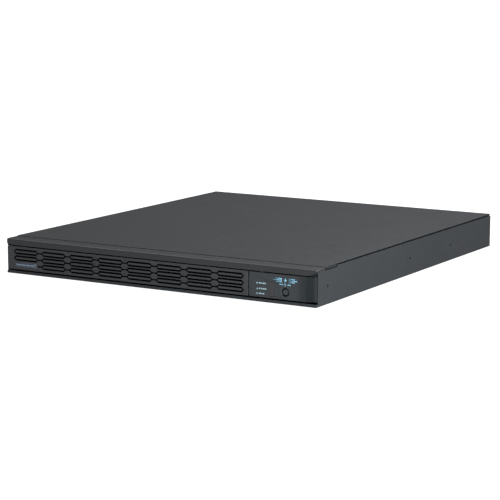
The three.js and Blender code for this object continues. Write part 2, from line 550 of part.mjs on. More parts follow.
function addRear(parent) {
  piece(parent, 'rear_panel', 'painted_steel', rearPanel());
  ['left', 'right'].forEach((side, i) => {
    const y = PANEL_REAR - FAN.depth - GAP;
    piece(parent, `fan_frame_${side}`, 'black_plastic', fanFrame(), FAN.x[i], y, FAN.z);
    piece(parent, `fan_rotor_${side}`, 'black_plastic', fanRotor(), FAN.x[i], y + 11, FAN.z);
  });
  piece(parent, 'mains_inlet', 'black_plastic', mainsInlet(), INLET.x, PANEL_REAR, INLET.z);
  OUTLET.x.forEach((x, i) =>
    piece(parent, `outlet_${i + 1}`, 'black_plastic', outlet(), x, PANEL_REAR, OUTLET.z));
  piece(parent, 'breaker_body', 'black_plastic', cut(
    [box(-8, 8, -24, -GAP, -11, 11), rod(0, 0, BREAKER.radius, -4, 2.4, 16)],
    [rod(0, 0, BREAKER.button + GAP, -6, 4, 16)]), BREAKER.x, PANEL_REAR, BREAKER.z);
  piece(parent, 'breaker_button', 'led_lens', rod(0, 0, BREAKER.button, -5.7 + BREAKER.travel, 3.8, 16),
    BREAKER.x, PANEL_REAR, BREAKER.z);
  piece(parent, 'data_port', 'zinc_steel', cut(
    [box(-15.5, 15.5, -12, -GAP, -6.5, 6.5), box(-9.5, 9.5, -2, 3.2, -4.8, 4.8)],
    [box(-8.5, 8.5, -3, 4, -3.9, 3.9)]), PORT.x, PANEL_REAR, PORT.z);
  const outside = PANEL_REAR + SHEET + GAP;
  piece(parent, 'option_cover', 'painted_steel', prism(
    roundedRectangle(0, 0, OPTION.width, OPTION.height, 1), 'y', 0, SHEET), OPTION.x, outside, OPTION.z);
  const rearScrew = () => screw(2.6, 1.2).rotateZ(Math.PI);
  [['left', -1], ['right', 1]].forEach(([side, sign]) => piece(parent, `option_screw_${side}`, 'screw_steel',
    rearScrew(), OPTION.x + sign * (OPTION.width / 2 - 3.6), outside + SHEET + GAP, OPTION.z));
  piece(parent, 'ground_screw', 'screw_steel', rearScrew(), 206, outside, 30);
}

// ---- whole object -----------------------------------------------------------------
const ups = new THREE.Group();
const front = new THREE.Group();
const drawer = new THREE.Group();
const inside = new THREE.Group();
const rear = new THREE.Group();
ups.add(front, drawer, inside, rear);

piece(ups, 'chassis_tray', 'painted_steel', chassisTray());
piece(ups, 'top_cover', 'painted_steel', topCover());
piece(ups, 'front_hood', 'painted_steel', frontHood());
piece(front, 'grille_panel', 'bezel_plastic', grillePanel());
piece(front, 'dust_filter', 'filter_foam',
  box(-200, PANEL_SPLIT - 3, RIB.back + GAP, RIB.back + GAP + FILTER, PANEL_LOW + 1, PANEL_HIGH - 1));
addFront(front);
addDrawer(drawer);
addInside(inside);
addRear(rear);

export default ups;
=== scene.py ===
"""Looks of the one-unit rackmount UPS: finished shells, lamps, printed marks and materials
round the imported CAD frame. Everything is in metres; sizes below are written in millimetres."""
import json
import math

import bmesh
import bpy
from mathutils import Euler, Matrix, Quaternion, Vector
from mathutils.geometry import tessellate_polygon

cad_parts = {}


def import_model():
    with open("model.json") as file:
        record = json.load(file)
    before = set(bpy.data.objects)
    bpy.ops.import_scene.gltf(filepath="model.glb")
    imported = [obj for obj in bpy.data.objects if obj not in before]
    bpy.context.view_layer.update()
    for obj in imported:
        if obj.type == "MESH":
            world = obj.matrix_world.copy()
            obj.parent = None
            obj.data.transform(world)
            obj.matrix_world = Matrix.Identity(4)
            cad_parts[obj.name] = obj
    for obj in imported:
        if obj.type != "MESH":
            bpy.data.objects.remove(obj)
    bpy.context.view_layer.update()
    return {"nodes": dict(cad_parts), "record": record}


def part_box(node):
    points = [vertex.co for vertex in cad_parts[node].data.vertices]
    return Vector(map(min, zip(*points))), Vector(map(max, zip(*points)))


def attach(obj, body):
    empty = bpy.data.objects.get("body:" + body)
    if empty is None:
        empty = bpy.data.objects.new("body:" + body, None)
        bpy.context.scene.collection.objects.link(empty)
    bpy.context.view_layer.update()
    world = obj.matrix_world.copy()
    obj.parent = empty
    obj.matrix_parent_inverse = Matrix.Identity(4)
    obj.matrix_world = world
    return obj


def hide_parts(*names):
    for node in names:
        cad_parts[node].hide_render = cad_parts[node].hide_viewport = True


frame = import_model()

MM = 0.001
NODES = frame["nodes"]

# ---- places taken from the frame ---------------------------------------------------
chassis_low, chassis_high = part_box("chassis_tray")
hood_low, hood_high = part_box("front_hood")
grille_low, grille_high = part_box("grille_panel")
control_low, control_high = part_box("control_panel")
button_low, button_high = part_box("power_button")
window_low, window_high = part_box("status_window")

HALF = chassis_high.x / MM
FRONT = chassis_low.y / MM
TOP = hood_high.z / MM
FACE = grille_low.y / MM              # front face of grille and control panel
PANEL_LOW = grille_low.z / MM
PANEL_HIGH = grille_high.z / MM


# ---- mesh helpers ------------------------------------------------------------------
def new_object(name, bm):
    mesh = bpy.data.meshes.new(name)
    bmesh.ops.recalc_face_normals(bm, faces=bm.faces)
    bm.to_mesh(mesh)
    bm.free()
    for polygon in mesh.polygons:
        polygon.use_smooth = True
    obj = bpy.data.objects.new(name, mesh)
    bpy.context.scene.collection.objects.link(obj)
    return obj


def soften(obj, width, segments=2, angle=32):
    """Rounded edges and clean normals, as modifiers."""
    if width > 0:
        bevel = obj.modifiers.new("edge", "BEVEL")
        bevel.width = width * MM
        bevel.segments = segments
        bevel.limit_method = "ANGLE"
        bevel.angle_limit = math.radians(angle)
        bevel.use_clamp_overlap = False
        bevel.miter_outer = "MITER_ARC"
    normals = obj.modifiers.new("normals", "WEIGHTED_NORMAL")
    normals.keep_sharp = True
    normals.weight = 80
    return obj


def arc(u, v, radius, start, end, steps):
    angles = [math.radians(start + (end - start) * i / steps) for i in range(steps + 1)]
    return [(u + radius * math.cos(a), v + radius * math.sin(a)) for a in angles]


def circle(u, v, radius, steps=40):
    return arc(u, v, radius, 0, 360, steps)[:-1]


def rounded_rectangle(u, v, width, height, radius, steps=6):
    a, b = width / 2 - radius, height / 2 - radius
    return (arc(u + a, v + b, radius, 0, 90, steps) + arc(u - a, v + b, radius, 90, 180, steps)
            + arc(u - a, v - b, radius, 180, 270, steps) + arc(u + a, v - b, radius, 270, 360, steps))


def pill(u, v, half_length, radius, steps=10):
    reach = half_length - radius
    return arc(u + reach, v, radius, -90, 90, steps) + arc(u - reach, v, radius, 90, 270, steps)


def box_outline(x, z, width, height):
    return [(x, z), (x + width, z), (x + width, z + height), (x, z + height)]


def fillet(points, size, steps=3):
    """Cuts each corner of a closed outline back by size and rounds it."""
    result = []
    for index, here in enumerate(points):
        here = Vector(here)
        before = Vector(points[index - 1]) - here
        after = Vector(points[(index + 1) % len(points)]) - here
        reach = min(size, before.length * 0.45, after.length * 0.45)
        start, end = here + before.normalized() * reach, here + after.normalized() * reach
        for step in range(steps + 1):
            t = step / steps
            p = start * (1 - t) ** 2 + here * 2 * t * (1 - t) + end * t ** 2
            result.append((p.x, p.y))
    return result


def plate(loops, low, high, axis="y"):
    """A bmesh of a plate whose outline is loops[0] and whose holes are the other loops.
    The outline lies across the axis: x and z for a plate across y, x and y for one across z,
    y and z for one across x. It reaches from low to high along the axis."""
    place = {"x": lambda u, v, w: (w, u, v),
             "y": lambda u, v, w: (u, w, v),
             "z": lambda u, v, w: (u, v, w)}[axis]
    flat = [point for loop in loops for point in loop]
    triangles = tessellate_polygon([[Vector((u, v, 0)) for u, v in loop] for loop in loops])
    bm = bmesh.new()
    rings = [[bm.verts.new(Vector(place(u, v, w)) * MM) for u, v in flat] for w in (low, high)]
    for triangle in triangles:
        bm.faces.new([rings[0][i] for i in triangle])
        bm.faces.new([rings[1][i] for i in reversed(triangle)])
    start = 0
    for loop in loops:
        count = len(loop)
        for i in range(count):
            a, b = start + i, start + (i + 1) % count
            bm.faces.new([rings[0][a], rings[0][b], rings[1][b], rings[1][a]])
        start += count
    bmesh.ops.dissolve_limit(bm, angle_limit=math.radians(0.5), verts=bm.verts[:], edges=bm.edges[:])
    return bm


def merge(target, source, offset=(0, 0, 0)):
    """Adds the faces of source to target."""
    mesh = bpy.data.meshes.new("part")
    source.to_mesh(mesh)
    source.free()
    mesh.transform(Matrix.Translation(Vector(offset) * MM))
    target.from_mesh(mesh)
    bpy.data.meshes.remove(mesh)
    return target


def lathe(profile, centre, axis="y", steps=48):
    """Turns a (radius, height) profile about the y or z axis through centre."""
    bm = bmesh.new()
    rings = []
    for radius, height in profile:
        if radius < 1e-6:
            rings.append([bm.verts.new((0, 0, height * MM))])
        else:
            angles = (2 * math.pi * i / steps for i in range(steps))
            rings.append([bm.verts.new((radius * MM * math.cos(a), radius * MM * math.sin(a), height * MM))
                          for a in angles])
    closed = profile[0][0] > 1e-6
    pairs = list(zip(rings, rings[1:])) + ([(rings[-1], rings[0])] if closed else [])
    for lower, upper in pairs:
        for i in range(steps):
            j = (i + 1) % steps
            corners = [lower[i % len(lower)], lower[j % len(lower)],
                       upper[j % len(upper)], upper[i % len(upper)]]
            corners = [c for k, c in enumerate(corners) if c not in corners[:k]]
            if len(corners) > 2:
                bm.faces.new(corners)
    turn = Euler((-math.pi / 2 if axis == "y" else 0, 0, 0))
    bm.transform(Matrix.Translation(Vector(centre) * MM) @ turn.to_matrix().to_4x4())
    return bm


# ---- materials ---------------------------------------------------------------------
def link(tree, source, socket):
    tree.links.new(source, socket)


def noise_node(tree, coordinates, scale, detail=2.0, roughness=0.5):
    node = tree.nodes.new("ShaderNodeTexNoise")
    node.inputs["Scale"].default_value = scale
    node.inputs["Detail"].default_value = detail
    node.inputs["Roughness"].default_value = roughness
    link(tree, coordinates, node.inputs["Vector"])
    return node.outputs["Fac"]


def map_range(tree, value, low, high, to_low, to_high):
    node = tree.nodes.new("ShaderNodeMapRange")
    for name, number in (("From Min", low), ("From Max", high), ("To Min", to_low), ("To Max", to_high)):
        node.inputs[name].default_value = number
    link(tree, value, node.inputs["Value"])
    return node.outputs["Result"]


def mix_colour(tree, factor, first, second):
    node = tree.nodes.new("ShaderNodeMix")
    node.data_type = "RGBA"
    link(tree, factor, node.inputs[0])
    for socket, value in ((node.inputs[6], first), (node.inputs[7], second)):
        if isinstance(value, tuple):
            socket.default_value = (*value, 1)
        else:
            link(tree, value, socket)
    return node.outputs[2]


def edge_mask(tree, radius):
    """1 on rounded edges, 0 on flats; the lighter edge colour laid with it is part wear, part painted
    highlight.
    """
    bevel = tree.nodes.new("ShaderNodeBevel")
    bevel.samples = 4
    bevel.inputs["Radius"].default_value = radius
    geometry = tree.nodes.new("ShaderNodeNewGeometry")
    dot = tree.nodes.new("ShaderNodeVectorMath")
    dot.operation = "DOT_PRODUCT"
    link(tree, bevel.outputs["Normal"], dot.inputs[0])
    link(tree, geometry.outputs["Normal"], dot.inputs[1])
    return map_range(tree, dot.outputs["Value"], 0.995, 0.90, 0.0, 1.0)


def shade(value, share):
    return tuple(min(1.0, channel * share) for channel in value)


def surface(name, colour, roughness, metallic=0.0, mottle=0.12, mottle_scale=22, grain_scale=1400,
            grain_depth=0.03, rough_swing=0.07, wave_scale=None, wave_depth=0.0, edge=None, coat=0.0,
            specular=0.5, stretch=(1, 1, 1), painted_end_shade=None):
    """A painted, moulded or metal surface: blotchy colour, fine grain, uneven roughness, lighter edges
    that are part edge wear, part painted highlight. edge is (colour, radius); the painted end shade is
    (colour, x where the painted shade starts, x where it ends)."""
    material = bpy.data.materials.new(name)
    material.use_nodes = True
    tree = material.node_tree
    shader = tree.nodes["Principled BSDF"]
    shader.inputs["Metallic"].default_value = metallic
    shader.inputs["Specular IOR Level"].default_value = specular
    shader.inputs["Coat Weight"].default_value = coat
    shader.inputs["Coat Roughness"].default_value = 0.15
    place = tree.nodes.new("ShaderNodeTexCoord").outputs["Object"]
    if stretch != (1, 1, 1):
        mapping = tree.nodes.new("ShaderNodeMapping")
        mapping.inputs["Scale"].default_value = stretch
        link(tree, place, mapping.inputs["Vector"])
        place = mapping.outputs["Vector"]
    blotch = noise_node(tree, place, mottle_scale, 4)
    grain = noise_node(tree, place, grain_scale, 3, 0.6)
    base = mix_colour(tree, map_range(tree, blotch, 0.3, 0.7, 0, 1), shade(colour, 1 - mottle),
                      shade(colour, 1 + mottle))
    speckle = map_range(tree, grain, 0.35, 0.65, 0, 1)
    base = mix_colour(tree, map_range(tree, speckle, 0, 1, 0.0, 0.35), base, shade(colour, 1.35))
    # Painted shade along x across a bent end, lighter again at the very end as a painted highlight on the
    # rim.
    if painted_end_shade:
        end_shade_colour, end_shade_start, end_shade_end = painted_end_shade
        ramp = tree.nodes.new("ShaderNodeValToRGB")
        split = tree.nodes.new("ShaderNodeSeparateXYZ")
        link(tree, place, split.inputs[0])
        along = map_range(tree, split.outputs["X"], end_shade_start * MM, end_shade_end * MM, 0, 1)
        link(tree, along, ramp.inputs["Fac"])
        stops = ((0.0, 0), (0.55, 1), (0.8, 1), (0.97, 0.25))
        for index, (place_at, share) in enumerate(stops):
            stop = ramp.color_ramp.elements[index] if index < 2 else ramp.color_ramp.elements.new(place_at)
            stop.position = place_at
            stop.color = (share, share, share, 1)
        base = mix_colour(tree, ramp.outputs["Color"], base, end_shade_colour)
    if edge:
        # Lighter colour on rounded edges: part edge wear, part painted highlight where light catches the
        # rounding.
        wear_and_highlight_colour, edge_radius = edge
        wear_and_highlight = tree.nodes.new("ShaderNodeMath")
        wear_and_highlight.operation = "MULTIPLY"
        link(tree, edge_mask(tree, edge_radius * MM), wear_and_highlight.inputs[0])
        link(tree, map_range(tree, noise_node(tree, place, 180, 3), 0.35, 0.6, 0.25, 1.0), wear_and_highlight.inputs[1])
        base = mix_colour(tree, wear_and_highlight.outputs["Value"], base, wear_and_highlight_colour)
    link(tree, base, shader.inputs["Base Color"])
    uneven = noise_node(tree, place, mottle_scale * 6, 3)
    link(tree, map_range(tree, uneven, 0.3, 0.7, roughness - rough_swing, roughness + rough_swing),
         shader.inputs["Roughness"])
    height = grain
    if wave_scale:
        add = tree.nodes.new("ShaderNodeMath")
        add.operation = "MULTIPLY_ADD"
        link(tree, noise_node(tree, place, wave_scale, 2), add.inputs[0])
        add.inputs[1].default_value = wave_depth / grain_depth
        link(tree, grain, add.inputs[2])
        height = add.outputs["Value"]
    bump = tree.nodes.new("ShaderNodeBump")
    bump.inputs["Strength"].default_value = 1.0
    bump.inputs["Distance"].default_value = grain_depth * MM
    link(tree, height, bump.inputs["Height"])
    link(tree, bump.outputs["Normal"], shader.inputs["Normal"])
    return material


# The edge colours are lighter than the base: part edge wear, part painted highlight on rounded edges.
LOOKS = {
    "painted_steel": dict(colour=(0.0215, 0.0228, 0.0245), roughness=0.36, grain_scale=1500,
                          grain_depth=0.003, edge=((0.055, 0.058, 0.062), 0.5), mottle=0.04,
                          specular=0.13, rough_swing=0.03),
    "chassis_paint": dict(colour=(0.025, 0.0275, 0.030), roughness=0.52, grain_scale=1500,
                          grain_depth=0.003, edge=((0.055, 0.058, 0.062), 0.5), mottle=0.04,
                          specular=0.03, rough_swing=0.04),
    "grille_plastic": dict(colour=(0.0285, 0.030, 0.0325), roughness=0.52, grain_scale=1900,
                           grain_depth=0.006, edge=((0.06, 0.064, 0.07), 0.3), mottle=0.05,
                           specular=0.15),
    "panel_plastic": dict(colour=(0.0255, 0.0295, 0.0330), roughness=0.44, grain_scale=2200,
                          grain_depth=0.003, edge=((0.055, 0.059, 0.064), 0.3), mottle=0.04,
                          specular=0.16),
    # control_plastic is panel plastic with painted shade across its bent right end (x 188 to 214 mm), ending
    # in a painted highlight on the rim.
    "control_plastic": dict(colour=(0.0255, 0.0290, 0.0320), roughness=0.44, grain_scale=2200,
                            grain_depth=0.003, edge=((0.055, 0.059, 0.064), 0.3), mottle=0.04,
                            specular=0.14, painted_end_shade=((0.0075, 0.0100, 0.0120), 188, 214)),
    # Near-black used as painted shade: the shadow gap under the cover, the cover's side edges and the sheet
    # behind the hood's sweep.
    "painted_shade": dict(colour=(0.009, 0.011, 0.013), roughness=0.42, grain_scale=2200, grain_depth=0.004,
                      edge=((0.05, 0.054, 0.06), 0.3), mottle=0.04, specular=0.06),
    "smoked_lens": dict(colour=(0.020, 0.020, 0.022), roughness=0.42, grain_scale=900, grain_depth=0.002,
                        specular=0.35, mottle=0.04, rough_swing=0.03),
    "zinc_steel": dict(colour=(0.50, 0.51, 0.52), roughness=0.38, metallic=0.9, mottle=0.14,
                       mottle_scale=60, grain_scale=700, grain_depth=0.01, stretch=(1, 0.08, 1)),
    "screw_steel": dict(colour=(0.42, 0.43, 0.44), roughness=0.32, metallic=1.0, grain_scale=1500,
                        grain_depth=0.01),
    "black_plastic": dict(colour=(0.016, 0.016, 0.018), roughness=0.45, grain_scale=1600,
                          grain_depth=0.02, edge=((0.04, 0.04, 0.043), 0.3)),
    "circuit_board": dict(colour=(0.012, 0.085, 0.035), roughness=0.35, mottle=0.3, mottle_scale=240,
                          grain_scale=1200, grain_depth=0.01, coat=0.2),
    "aluminium": dict(colour=(0.62, 0.63, 0.64), roughness=0.36, metallic=1.0, grain_scale=900,
                      grain_depth=0.01, stretch=(1, 0.05, 1)),
    "ferrite": dict(colour=(0.03, 0.03, 0.032), roughness=0.6, grain_scale=2500, grain_depth=0.03),
    "copper_wire": dict(colour=(0.45, 0.19, 0.07), roughness=0.35, metallic=0.8, grain_scale=600,
                        grain_depth=0.1, stretch=(1, 1, 6)),
    "cell_wrap": dict(colour=(0.018, 0.065, 0.17), roughness=0.38, grain_scale=500, grain_depth=0.02,
                      coat=0.1, wave_scale=90, wave_depth=0.08),
    "indicator_lens": dict(colour=(0.62, 0.64, 0.60), roughness=0.25, grain_scale=900, grain_depth=0.004,
                           coat=0.3),
    "filter_foam": dict(colour=(0.004, 0.004, 0.005), roughness=0.95, grain_scale=1100, grain_depth=0.5,
                        specular=0.05),
    "ink": dict(colour=(0.20, 0.29, 0.33), roughness=0.55, grain_scale=1500, grain_depth=0.002,
                mottle=0.05),
    "badge_ink": dict(colour=(0.13, 0.31, 0.42), roughness=0.55, grain_scale=1500, grain_depth=0.002,
                      mottle=0.05),
    "label_ink": dict(colour=(0.12, 0.17, 0.21), roughness=0.55, grain_scale=1500, grain_depth=0.002,
                      mottle=0.05),
    "label_film": dict(colour=(0.012, 0.021, 0.040), roughness=0.42, grain_scale=1500, grain_depth=0.002,
                       mottle=0.05),
}
MATERIAL = {name: surface(name, **look) for name, look in LOOKS.items()}

SLOTS = {part["node"]: part["material_slot"] for part in frame["record"]["subparts"]}


def finish_piece(obj, material, body, replaces=()):
    """Gives a piece its material, its body and the CAD nodes it stands for."""
    obj.data.materials.clear()
    obj.data.materials.append(MATERIAL[material])
    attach(obj, body)
    if replaces:
        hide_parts(*replaces)
    return obj


# ---- CAD nodes that stay: edges rounded by modifiers, materials by slot ------------
FINISH = {"chassis_tray": "chassis_paint"}   # the tray's paint is duller than the cover's
EDGE = {"chassis_tray": 0.2, "top_cover": 0.35, "rear_panel": 0.25, "main_board": 0.15}
# large or pierced faces that bevel cleanly only with their triangles kept
KEEP_TRIANGLES = ("chassis_tray", "rear_panel", "outlet_")


def dress(node):
    obj = NODES[node]
    for polygon in obj.data.polygons:
        polygon.use_smooth = True
    weld = obj.modifiers.new("weld", "WELD")
    weld.merge_threshold = 0.00002
    if not node.startswith(KEEP_TRIANGLES):
        flat = obj.modifiers.new("flat", "DECIMATE")
        flat.decimate_type = "DISSOLVE"
        flat.angle_limit = math.radians(0.6)
    soften(obj, EDGE.get(node, 0.2))
    obj.data.materials.clear()
    obj.data.materials.append(MATERIAL[FINISH.get(node, SLOTS[node])])


WALL_TOP_FROM = 38   # only the tops of the walls face up above this height


def shade_gap():
    """Painted shade of the gap between cover and walls: the cover's side edges and all of it below its top
    skin, and the walls' up-facing tops, take the near-black material.
    """
    cover, tray = NODES["top_cover"], NODES["chassis_tray"]
    cover.data.materials.append(MATERIAL["painted_shade"])
    tray.data.materials.append(MATERIAL["painted_shade"])
    for polygon in cover.data.polygons:
        if polygon.center.z / MM < TOP - 0.5 or abs(polygon.normal.x) > 0.9:
            polygon.material_index = 1
    for polygon in tray.data.polygons:
        if polygon.center.z / MM > WALL_TOP_FROM and polygon.normal.z > 0.5:
            polygon.material_index = 1


for node_name in sorted(NODES):
    dress(node_name)
shade_gap()


# ---- front hood: folded sheet whose band sweeps up at its ends ---------------------
SWEEP = {-1: (12.0, 1.2), 1: (16.0, 5.2)}   # length along the band and rise, left and right
SWEEP_SIDE = 17.0                           # how far the sweep runs back along each side
SHEET = 1.2
GAP = 0.3                                   # clearance between neighbouring sheets
FRONT_ROLL = 2.0                            # outer radius of the fold between top and band
SWEEP_STEPS = 14
DOUBLER_START = 197.0


def band_low(x):
    length, rise = SWEEP[-1 if x < 0 else 1]
    return hood_low.z / MM + rise * (max(0.0, abs(x) - HALF + length) / length) ** 2


def front_hood():
    roll = FRONT_ROLL
    back = hood_high.y / MM
    inner = TOP - SHEET
    stations = [-HALF + SWEEP[-1][0] * (i / SWEEP_STEPS) for i in range(SWEEP_STEPS + 1)]
    stations += [HALF - SWEEP[1][0] * (1 - i / SWEEP_STEPS) for i in range(SWEEP_STEPS + 1)]

    def section(x):
        low = band_low(x)
        points = [(back, inner), (back, TOP)]
        points += arc(FRONT + roll, TOP - roll, roll, 90, 180, 12)
        points += [(FRONT, low), (FRONT + SHEET, low)]
        # the fold's inner arc stays above the band's lower edge
        points += [(y, max(z, low + 0.02))
                   for y, z in arc(FRONT + roll, TOP - roll, roll - SHEET, 180, 90, 6)]
        return points

    bm = bmesh.new()
    rings = [[bm.verts.new(Vector((x, y, z)) * MM) for y, z in section(x)] for x in stations]
    for left, right in zip(rings, rings[1:]):
        for i in range(len(left)):
            j = (i + 1) % len(left)
            bm.faces.new([left[i], left[j], right[j], right[i]])
    bm.faces.new(rings[0])
    bm.faces.new(list(reversed(rings[-1])))
    for x in (-HALF, HALF - SHEET):
        low = band_low(-HALF if x < 0 else HALF)
        side = [(FRONT + SHEET, low), (FRONT + SWEEP_SIDE, inner), (FRONT + SWEEP_SIDE, inner + 0.3),
                (FRONT + SHEET, inner + 0.3)]
        merge(bm, plate([side], x, x + SHEET, "x"))
    return soften(new_object("front_hood_shell", bm), 0.22, 2, 40)


def hood_doubler():
    """The sheet seen behind the band's right sweep, in near-black as painted shade under the sweep."""
    outline = box_outline(DOUBLER_START, FRONT + SHEET - 0.1, HALF - SHEET - GAP - DOUBLER_START, 1.3)
    bm = plate([outline], hood_low.z / MM, TOP - SHEET + 0.2, "z")
    finish_piece(soften(new_object("hood_doubler", bm), 0.15), "painted_shade", "chassis")


finish_piece(front_hood(), "painted_steel", "chassis", replaces=["front_hood"])
hood_doubler()


# ---- grille and control panel ------------------------------------------------------
CELL_PITCH_X, CELL_PITCH_Z = 41.4, 8.0
CELL_FIRST_X, CELL_FIRST_Z = -187.0, 27.2
COLUMNS, ROWS = 8, 3
TIP, FLAT, RISE = 18.4, 15.4, 3.35     # half length to the point, half length of the sides, half height
BAR_HALF, BAR_RADIUS = 16.1, 1.3
LINK = 0.8                             # half height of the slot between two rings
STUB = 6.0                             # short slot at the start of the row that the label shortens
WALL = 3.0                             # thickness of both panels
RIB_HALF, RIB_THICK = 0.6, 0.8
BUTTON_HOLE = 4.95
WINDOW_GAP = 0.4
FILTER_EXTRA = 9.0                     # the foam also backs the first column of slots


def row_columns(row):
    return [column for column in range(COLUMNS) if not (column == 0 and row == ROWS - 1)]


def cell_centre(column, row):
    return CELL_FIRST_X + CELL_PITCH_X * column, CELL_FIRST_Z - CELL_PITCH_Z * row


def slot_row_outline(row):
    columns = row_columns(row)
    z = cell_centre(0, row)[1]
    tip_in = TIP - LINK * (TIP - FLAT) / RISE
    upper = []
    for column in columns:
        x = cell_centre(column, row)[0]
        upper += [(x - tip_in, z + LINK), (x - FLAT, z + RISE), (x + FLAT, z + RISE), (x + tip_in, z + LINK)]
    lower = [(x, 2 * z - v) for x, v in reversed(upper)]
    first, last = cell_centre(columns[0], row)[0], cell_centre(columns[-1], row)[0]
    if columns[0] > 0:
        start = [(first - TIP - STUB, z - LINK), (first - TIP - STUB, z + LINK)]
    else:
        start = [(first - TIP, z)]
    return fillet(start + upper + [(last + TIP, z)] + lower, 0.7)


def bend_end(bm, side, start, radius, turn, face):
    """Wraps what lies beyond start round a corner of that radius, by turn degrees."""
    angle = math.radians(turn)
    steps = 14
    for i in range(steps + 1):
        s = start + radius * angle * i / steps
        geometry = bm.verts[:] + bm.edges[:] + bm.faces[:]
        bmesh.ops.bisect_plane(bm, geom=geometry, plane_co=(side * s * MM, 0, 0), plane_no=(1, 0, 0),
                               dist=1e-7)
    for vertex in bm.verts:
        s, depth = side * vertex.co.x / MM - start, vertex.co.y / MM - face
        if s <= 1e-6:
            continue
        swing = min(s / radius, angle)
        beyond = max(0.0, s - radius * angle)
        inner = radius - depth
        x = start + inner * math.sin(swing) + beyond * math.cos(swing)
        y = face + radius - inner * math.cos(swing) + beyond * math.sin(swing)
        vertex.co.x, vertex.co.y = side * x * MM, y * MM


LEFT_BEND = dict(start=205.6, radius=9.0, turn=0.6)
RIGHT_BEND = dict(start=195.5, radius=14.0, turn=16.0)
SPLIT_BEND = dict(radius=9.0, turn=19.0)   # the control panel's edge beside the grille


def unrolled_end(bend, reach):
    """Length along the panel to its end, where its face is reach from the middle."""
    angle = math.radians(bend["turn"])
    run = (reach - bend["start"] - bend["radius"] * math.sin(angle)) / math.cos(angle)
    return bend["start"] + bend["radius"] * angle + max(0.0, run)


def panel_outline(left, right):
    return rounded_rectangle((left + right) / 2, (PANEL_LOW + PANEL_HIGH) / 2, right - left,
                             PANEL_HIGH - PANEL_LOW, 0.8, 3)


def darken_slots(obj):
    """Painted shade: the side faces inside the slots, and faces that look up, take the near-black foam
    material though they are grille plastic.
    """
    obj.data.materials.append(MATERIAL["filter_foam"])
    for polygon in obj.data.polygons:
        x, z = polygon.center.x / MM, polygon.center.z / MM
        inside = (PANEL_LOW + 0.5 < z < PANEL_HIGH - 0.5
                  and grille_low.x / MM + 1 < x < grille_high.x / MM - 0.5)
        if abs(polygon.normal.y) < 0.5 and (inside or polygon.normal.z > 0.7):
            polygon.material_index = 1


def filter_sheet():
    """The foam behind the grille, wide enough to back the first column of slots."""
    low, high = (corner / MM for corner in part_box("dust_filter"))
    outline = box_outline(low.x - FILTER_EXTRA, low.z, high.x - low.x + FILTER_EXTRA, high.z - low.z)
    finish_piece(soften(new_object("filter_sheet", plate([outline], low.y, high.y)), 0.3), "filter_foam",
                 "grille", replaces=["dust_filter"])


def corner_gap_shade():
    """Near-black blocks at the chassis's left edge, above and below the grille's left end: painted shade that
    carries the gap lines out to the edge.
    """
    bm = bmesh.new()
    for low, high in ((3.2, PANEL_LOW - 0.15), (PANEL_HIGH + 0.15, band_low(-HALF) + 0.4)):
        merge(bm, plate([box_outline(-HALF + 0.1, FRONT + 1.3, 1.1, 3.5)], low, high, "z"))
    finish_piece(new_object("corner_gap_shade", bm), "filter_foam", "chassis")


def grille():
    left = -unrolled_end(LEFT_BEND, -grille_low.x / MM)
    loops = [panel_outline(left, grille_high.x / MM)] + [slot_row_outline(row) for row in range(ROWS)]
    bm = plate(loops, FACE, FACE + WALL)
    bend_end(bm, -1, face=FACE, **LEFT_BEND)
    obj = soften(new_object("grille_face", bm), 0.28, 2)
    finish_piece(obj, "grille_plastic", "grille", replaces=["grille_panel"])
    darken_slots(obj)


def grille_bars():
    bars = bmesh.new()
    for row in range(ROWS):
        for column in row_columns(row):
            x, z = cell_centre(column, row)
            merge(bars, plate([pill(x, z, BAR_HALF, BAR_RADIUS)], FACE + 0.1, FACE + WALL - 0.2))
    darken_slots(finish_piece(soften(new_object("grille_bars", bars), 0.35, 3), "grille_plastic", "grille"))
    ribs = bmesh.new()
    rib_back = grille_high.y / MM
    for column in range(COLUMNS):
        x = cell_centre(column, 0)[0]
        for low, high, front, back in (
                [(PANEL_LOW + 1.5, PANEL_HIGH - 1.5, rib_back - 1, rib_back)]
                + [(z - RIB_HALF, z + RIB_HALF, FACE + WALL - RIB_THICK, rib_back - RIB_THICK)
                   for z in (CELL_FIRST_Z + CELL_PITCH_Z * (0.5 - i / 2) for i in range(2 * ROWS + 1))]):
            foot = [(x - RIB_THICK, low), (x + RIB_THICK, low), (x + RIB_THICK, high), (x - RIB_THICK, high)]
            merge(ribs, plate([foot], front, back))
    # The ribs are grille plastic; the near-black foam material on them is painted shade behind the slots.
    finish_piece(soften(new_object("grille_ribs", ribs), 0.12), "filter_foam", "grille")


def control_face():
    button = (button_low + button_high) / 2 / MM
    window = (window_low + window_high) / 2 / MM
    size = (window_high - window_low) / MM
    left = control_low.x / MM
    right = unrolled_end(RIGHT_BEND, control_high.x / MM)
    loops = [panel_outline(left, right), circle(button.x, button.z, BUTTON_HOLE),
             rounded_rectangle(window.x, window.z, size.x + WINDOW_GAP, size.z + WINDOW_GAP, 1.2)]
    bm = plate(loops, FACE, FACE + WALL)
    bend_end(bm, 1, face=FACE, **RIGHT_BEND)
    bend_end(bm, -1, face=FACE, start=-left - WALL, **SPLIT_BEND)
    obj = soften(new_object("control_face", bm), 0.3, 2)
    finish_piece(obj, "control_plastic", "chassis", replaces=["control_panel"])
    # Painted shade: faces that look up (the panel's top edge, the floors of the holes) take the near-black
    # foam material, darkening the gap above the panel.
    obj.data.materials.append(MATERIAL["filter_foam"])
    for polygon in obj.data.polygons:
        if polygon.normal.z > 0.7:
            polygon.material_index = 1


